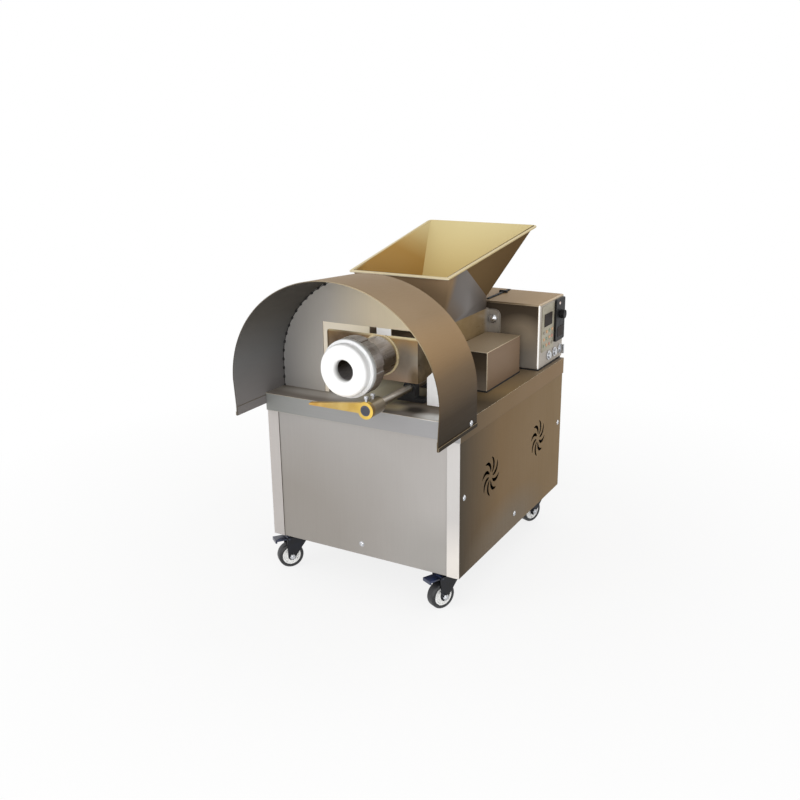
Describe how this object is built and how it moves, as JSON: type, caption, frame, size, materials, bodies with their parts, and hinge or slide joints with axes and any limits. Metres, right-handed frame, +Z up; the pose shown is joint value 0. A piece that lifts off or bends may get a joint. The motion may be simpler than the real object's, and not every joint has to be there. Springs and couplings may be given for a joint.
{
  "type": "dough divider",
  "caption": "Floor-standing dough divider: hopper over an auger and barrel, white outlet nozzle, turning cut-off knife under a rounded hood, steel cabinet on braked castors.",
  "frame": {"origin": "on the floor, below the middle of the object's box", "axes": "+Z up, -Y towards the nozzle and the hood, +X towards the control panel"},
  "size_m": [0.512, 0.7426, 0.78],
  "materials": {
    "side_steel": "brushed stainless sheet, warm reflection",
    "front_steel": "brushed stainless sheet",
    "deck_steel": "brushed stainless sheet",
    "hood_steel": "brushed stainless sheet, warm reflection",
    "box_steel": "brushed stainless sheet",
    "polished_steel": "polished stainless",
    "hopper_steel": "satin stainless, golden reflection",
    "cream_steel": "bright stainless edge",
    "nut_steel": "turned stainless",
    "dark_steel": "oiled steel",
    "bright_metal": "polished",
    "cast_black": "black cast housing",
    "motor_paint": "grey enamel",
    "yellow_blade": "satin",
    "white_nylon": "turned white nylon",
    "black_rubber": "matt rubber",
    "black_plastic": "moulded plastic",
    "keypad_film": "silver membrane film",
    "display_glass": "dark display window",
    "castor_black": "black coated steel",
    "castor_tread": "dark rubber tread",
    "white_hub": "moulded plastic"
  },
  "bodies": {
    "machine": {"floor_tray": "dark_steel", "left_side_panel": "side_steel", "right_side_panel": "side_steel", "front_panel": "front_steel", "rear_panel": "front_steel", "deck": "deck_steel", "panel_screws": "bright_metal", "guard_hood": "hood_steel", "guard_back_plate": "front_steel", "window_trim": "cream_steel", "feed_chamber": "polished_steel", "barrel_tube": "polished_steel", "ring_nut": "nut_steel", "outlet_nozzle": "white_nylon", "hopper": "hopper_steel", "chamber_bolts": "bright_metal", "auger_bearing": "cast_black", "drive_chain": "dark_steel", "gear_reducer": "motor_paint", "drive_motor": "motor_paint", "drive_cover": "box_steel", "control_box": "box_steel", "seam_strip": "black_rubber", "keypad": "keypad_film", "display_window": "display_glass", "speed_panel": "black_plastic", "switch_bezels": "bright_metal", "gear_cover": "box_steel", "knife_motor": "motor_paint", "knife_belt": "black_rubber", "knife_bearings": "cast_black", "cable_gland": "black_plastic", "castor_plates": "castor_black"},
    "auger": {"auger_screw": "polished_steel", "auger_shaft": "bright_metal", "auger_sprocket": "dark_steel"},
    "main_drive_sprocket": {"drive_sprocket": "dark_steel"},
    "knife": {"knife_shaft": "bright_metal", "knife_hub": "nut_steel", "knife_blade": "yellow_blade", "knife_bolts": "bright_metal"},
    "knife_motor_pulley": {"motor_pulley": "dark_steel"},
    "speed_knob": {"speed_knob": "black_plastic"},
    "start_button": {"start_button": "bright_metal"},
    "stop_button": {"stop_button": "bright_metal"},
    "selector_switch": {"selector_switch": "black_plastic"},
    "castor_fl": {"castor_fork_fl": "castor_black"},
    "wheel_fl": {"castor_tyre_fl": "castor_tread", "castor_hub_fl": "white_hub"},
    "castor_fr": {"castor_fork_fr": "castor_black"},
    "wheel_fr": {"castor_tyre_fr": "castor_tread", "castor_hub_fr": "white_hub"},
    "castor_rl": {"castor_fork_rl": "castor_black"},
    "wheel_rl": {"castor_tyre_rl": "castor_tread", "castor_hub_rl": "white_hub"},
    "castor_rr": {"castor_fork_rr": "castor_black"},
    "wheel_rr": {"castor_tyre_rr": "castor_tread", "castor_hub_rr": "white_hub"},
    "pedal_fl": {"brake_pedal_fl": "castor_black"},
    "pedal_fr": {"brake_pedal_fr": "castor_black"}
  },
  "joints": [
    {"name": "auger_spin", "type": "hinge", "parent": "machine", "child": "auger", "pos_m": [0.014, -0.066, 0.549], "axis": [0, 1, 0], "continuous": true},
    {"name": "main_sprocket_spin", "type": "hinge", "parent": "machine", "child": "main_drive_sprocket", "pos_m": [0.014, 0.244, 0.166], "axis": [0, 1, 0], "continuous": true},
    {"name": "knife_spin", "type": "hinge", "parent": "machine", "child": "knife", "pos_m": [0.076, -0.166, 0.476], "axis": [0, 1, 0], "continuous": true},
    {"name": "knife_pulley_spin", "type": "hinge", "parent": "machine", "child": "knife_motor_pulley", "pos_m": [0.157, -0.009, 0.476], "axis": [0, 1, 0], "continuous": true},
    {"name": "speed_knob_turn", "type": "hinge", "parent": "machine", "child": "speed_knob", "pos_m": [0.248, 0.327, 0.565], "axis": [1, 0, 0], "range_deg": [-135, 135]},
    {"name": "start_press", "type": "slide", "parent": "machine", "child": "start_button", "axis": [-1, 0, 0], "range_m": [0, 0.003], "stiffness_N_per_m": 300},
    {"name": "stop_press", "type": "slide", "parent": "machine", "child": "stop_button", "axis": [-1, 0, 0], "range_m": [0, 0.003], "stiffness_N_per_m": 300},
    {"name": "selector_turn", "type": "hinge", "parent": "machine", "child": "selector_switch", "pos_m": [0.24, 0.34, 0.471], "axis": [1, 0, 0], "range_deg": [-45, 45]},
    {"name": "castor_swivel_fl", "type": "hinge", "parent": "machine", "child": "castor_fl", "pos_m": [-0.205, -0.221, 0.08], "axis": [0, 0, 1], "continuous": true},
    {"name": "wheel_roll_fl", "type": "hinge", "parent": "castor_fl", "child": "wheel_fl", "pos_m": [-0.22065, -0.24177, 0.031], "axis": [0.7986, -0.6018, 0], "continuous": true},
    {"name": "brake_fl", "type": "hinge", "parent": "castor_fl", "child": "pedal_fl", "pos_m": [-0.22366, -0.24576, 0.0767], "axis": [0.7986, -0.6018, 0], "range_deg": [0, 12]},
    {"name": "castor_swivel_fr", "type": "hinge", "parent": "machine", "child": "castor_fr", "pos_m": [0.205, -0.221, 0.08], "axis": [0, 0, 1], "continuous": true},
    {"name": "wheel_roll_fr", "type": "hinge", "parent": "castor_fr", "child": "wheel_fr", "pos_m": [0.1936, -0.24437, 0.031], "axis": [0.8988, -0.4384, 0], "continuous": true},
    {"name": "brake_fr", "type": "hinge", "parent": "castor_fr", "child": "pedal_fr", "pos_m": [0.19141, -0.24886, 0.0767], "axis": [0.8988, -0.4384, 0], "range_deg": [0, 12]},
    {"name": "castor_swivel_rl", "type": "hinge", "parent": "machine", "child": "castor_rl", "pos_m": [-0.205, 0.303, 0.08], "axis": [0, 0, 1], "continuous": true},
    {"name": "wheel_roll_rl", "type": "hinge", "parent": "castor_rl", "child": "wheel_rl", "pos_m": [-0.21878, 0.28095, 0.031], "axis": [0.848, -0.5299, 0], "continuous": true},
    {"name": "castor_swivel_rr", "type": "hinge", "parent": "machine", "child": "castor_rr", "pos_m": [0.205, 0.303, 0.08], "axis": [0, 0, 1], "continuous": true},
    {"name": "wheel_roll_rr", "type": "hinge", "parent": "castor_rr", "child": "wheel_rr", "pos_m": [0.19526, 0.27889, 0.031], "axis": [0.9272, -0.3746, 0], "continuous": true}
  ],
  "couplings": [
    {"joint": "main_sprocket_spin", "follows": "auger_spin", "ratio": 1},
    {"joint": "knife_pulley_spin", "follows": "knife_spin", "ratio": 1}
  ]
}
